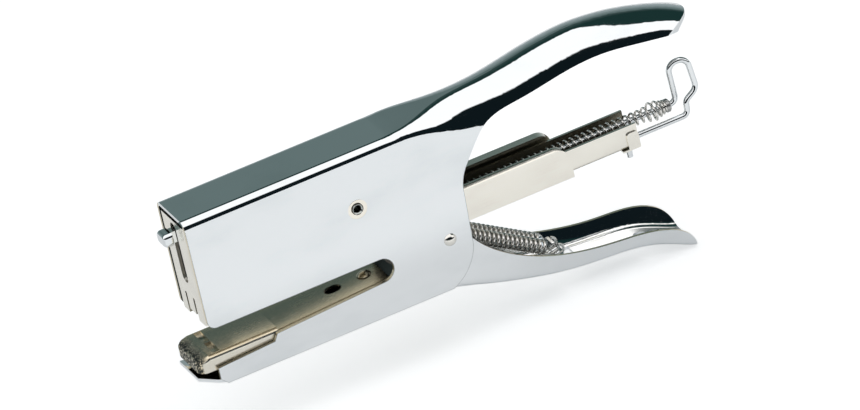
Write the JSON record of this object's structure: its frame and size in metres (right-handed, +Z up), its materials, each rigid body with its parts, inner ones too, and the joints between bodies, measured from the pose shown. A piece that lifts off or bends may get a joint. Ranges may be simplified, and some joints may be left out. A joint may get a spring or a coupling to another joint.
{
  "type": "plier stapler",
  "caption": "Hand-held plier stapler: folded chrome frame with curved upper grip, pivoting lower handle, tilting staple magazine and a sprung pull-out staple feeder.",
  "frame": {"origin": "centre of the tubular main axle, on the mid plane of the stapler", "axes": "+X along the head towards the handle tips, +Y along the axle to the far side plate, +Z up from the jaw to the upper grip"},
  "size_m": [0.1908, 0.0246, 0.0897],
  "materials": {
    "chrome_plate": "polished chrome plate on steel sheet",
    "nickel_plate": "satin nickel plate with a warm tint",
    "bright_steel": "plain bright steel",
    "spring_wire": "drawn spring wire"
  },
  "bodies": {
    "frame": {"frame_shell": "chrome_plate", "jaw_channel": "chrome_plate", "anvil": "nickel_plate", "jaw_cover": "nickel_plate", "cover_rivet": "bright_steel", "pivot_axle": "nickel_plate", "rear_pin": "chrome_plate"},
    "handle": {"lower_handle": "chrome_plate", "drive_arm": "chrome_plate", "arm_rivets": "bright_steel", "axle_spacer": "bright_steel", "return_spring_near": "spring_wire", "return_spring_far": "spring_wire"},
    "magazine": {"magazine_channel": "nickel_plate", "driver_guide": "nickel_plate", "staple_rail": "nickel_plate", "rail_end_clip": "nickel_plate", "rail_rivets": "bright_steel"},
    "driver": {"driver_blade": "bright_steel"},
    "feeder": {"guide_rod": "chrome_plate", "spring_seat": "nickel_plate", "follower_spring": "spring_wire"},
    "pusher": {"pusher": "nickel_plate"}
  },
  "joints": [
    {"name": "handle_squeeze", "type": "hinge", "parent": "frame", "child": "handle", "pos_m": [0, 0, 0], "axis": [0, -1, 0], "range_deg": [0, 13], "stiffness_Nm_per_rad": 2, "springref_deg": -17.19, "deforming": ["return_spring_near", "return_spring_far"]},
    {"name": "magazine_tilt", "type": "hinge", "parent": "frame", "child": "magazine", "pos_m": [0.028, 0, -0.0236], "axis": [0, -1, 0], "range_deg": [0, 4]},
    {"name": "driver_slide", "type": "slide", "parent": "magazine", "child": "driver", "axis": [0, 0, -1], "range_m": [0, 0.0071]},
    {"name": "feeder_pull", "type": "slide", "parent": "magazine", "child": "feeder", "axis": [1, 0, 0], "range_m": [0, 0.15]},
    {"name": "pusher_slide", "type": "slide", "parent": "feeder", "child": "pusher", "axis": [1, 0, 0], "range_m": [0, 0.095], "stiffness_N_per_m": 30, "springref_m": -0.1, "deforming": ["follower_spring"]}
  ],
  "couplings": [
    {"joint": "magazine_tilt", "follows": "handle_squeeze", "ratio": 0.30769},
    {"joint": "driver_slide", "follows": "handle_squeeze", "m_per_rad": 0.031292}
  ]
}
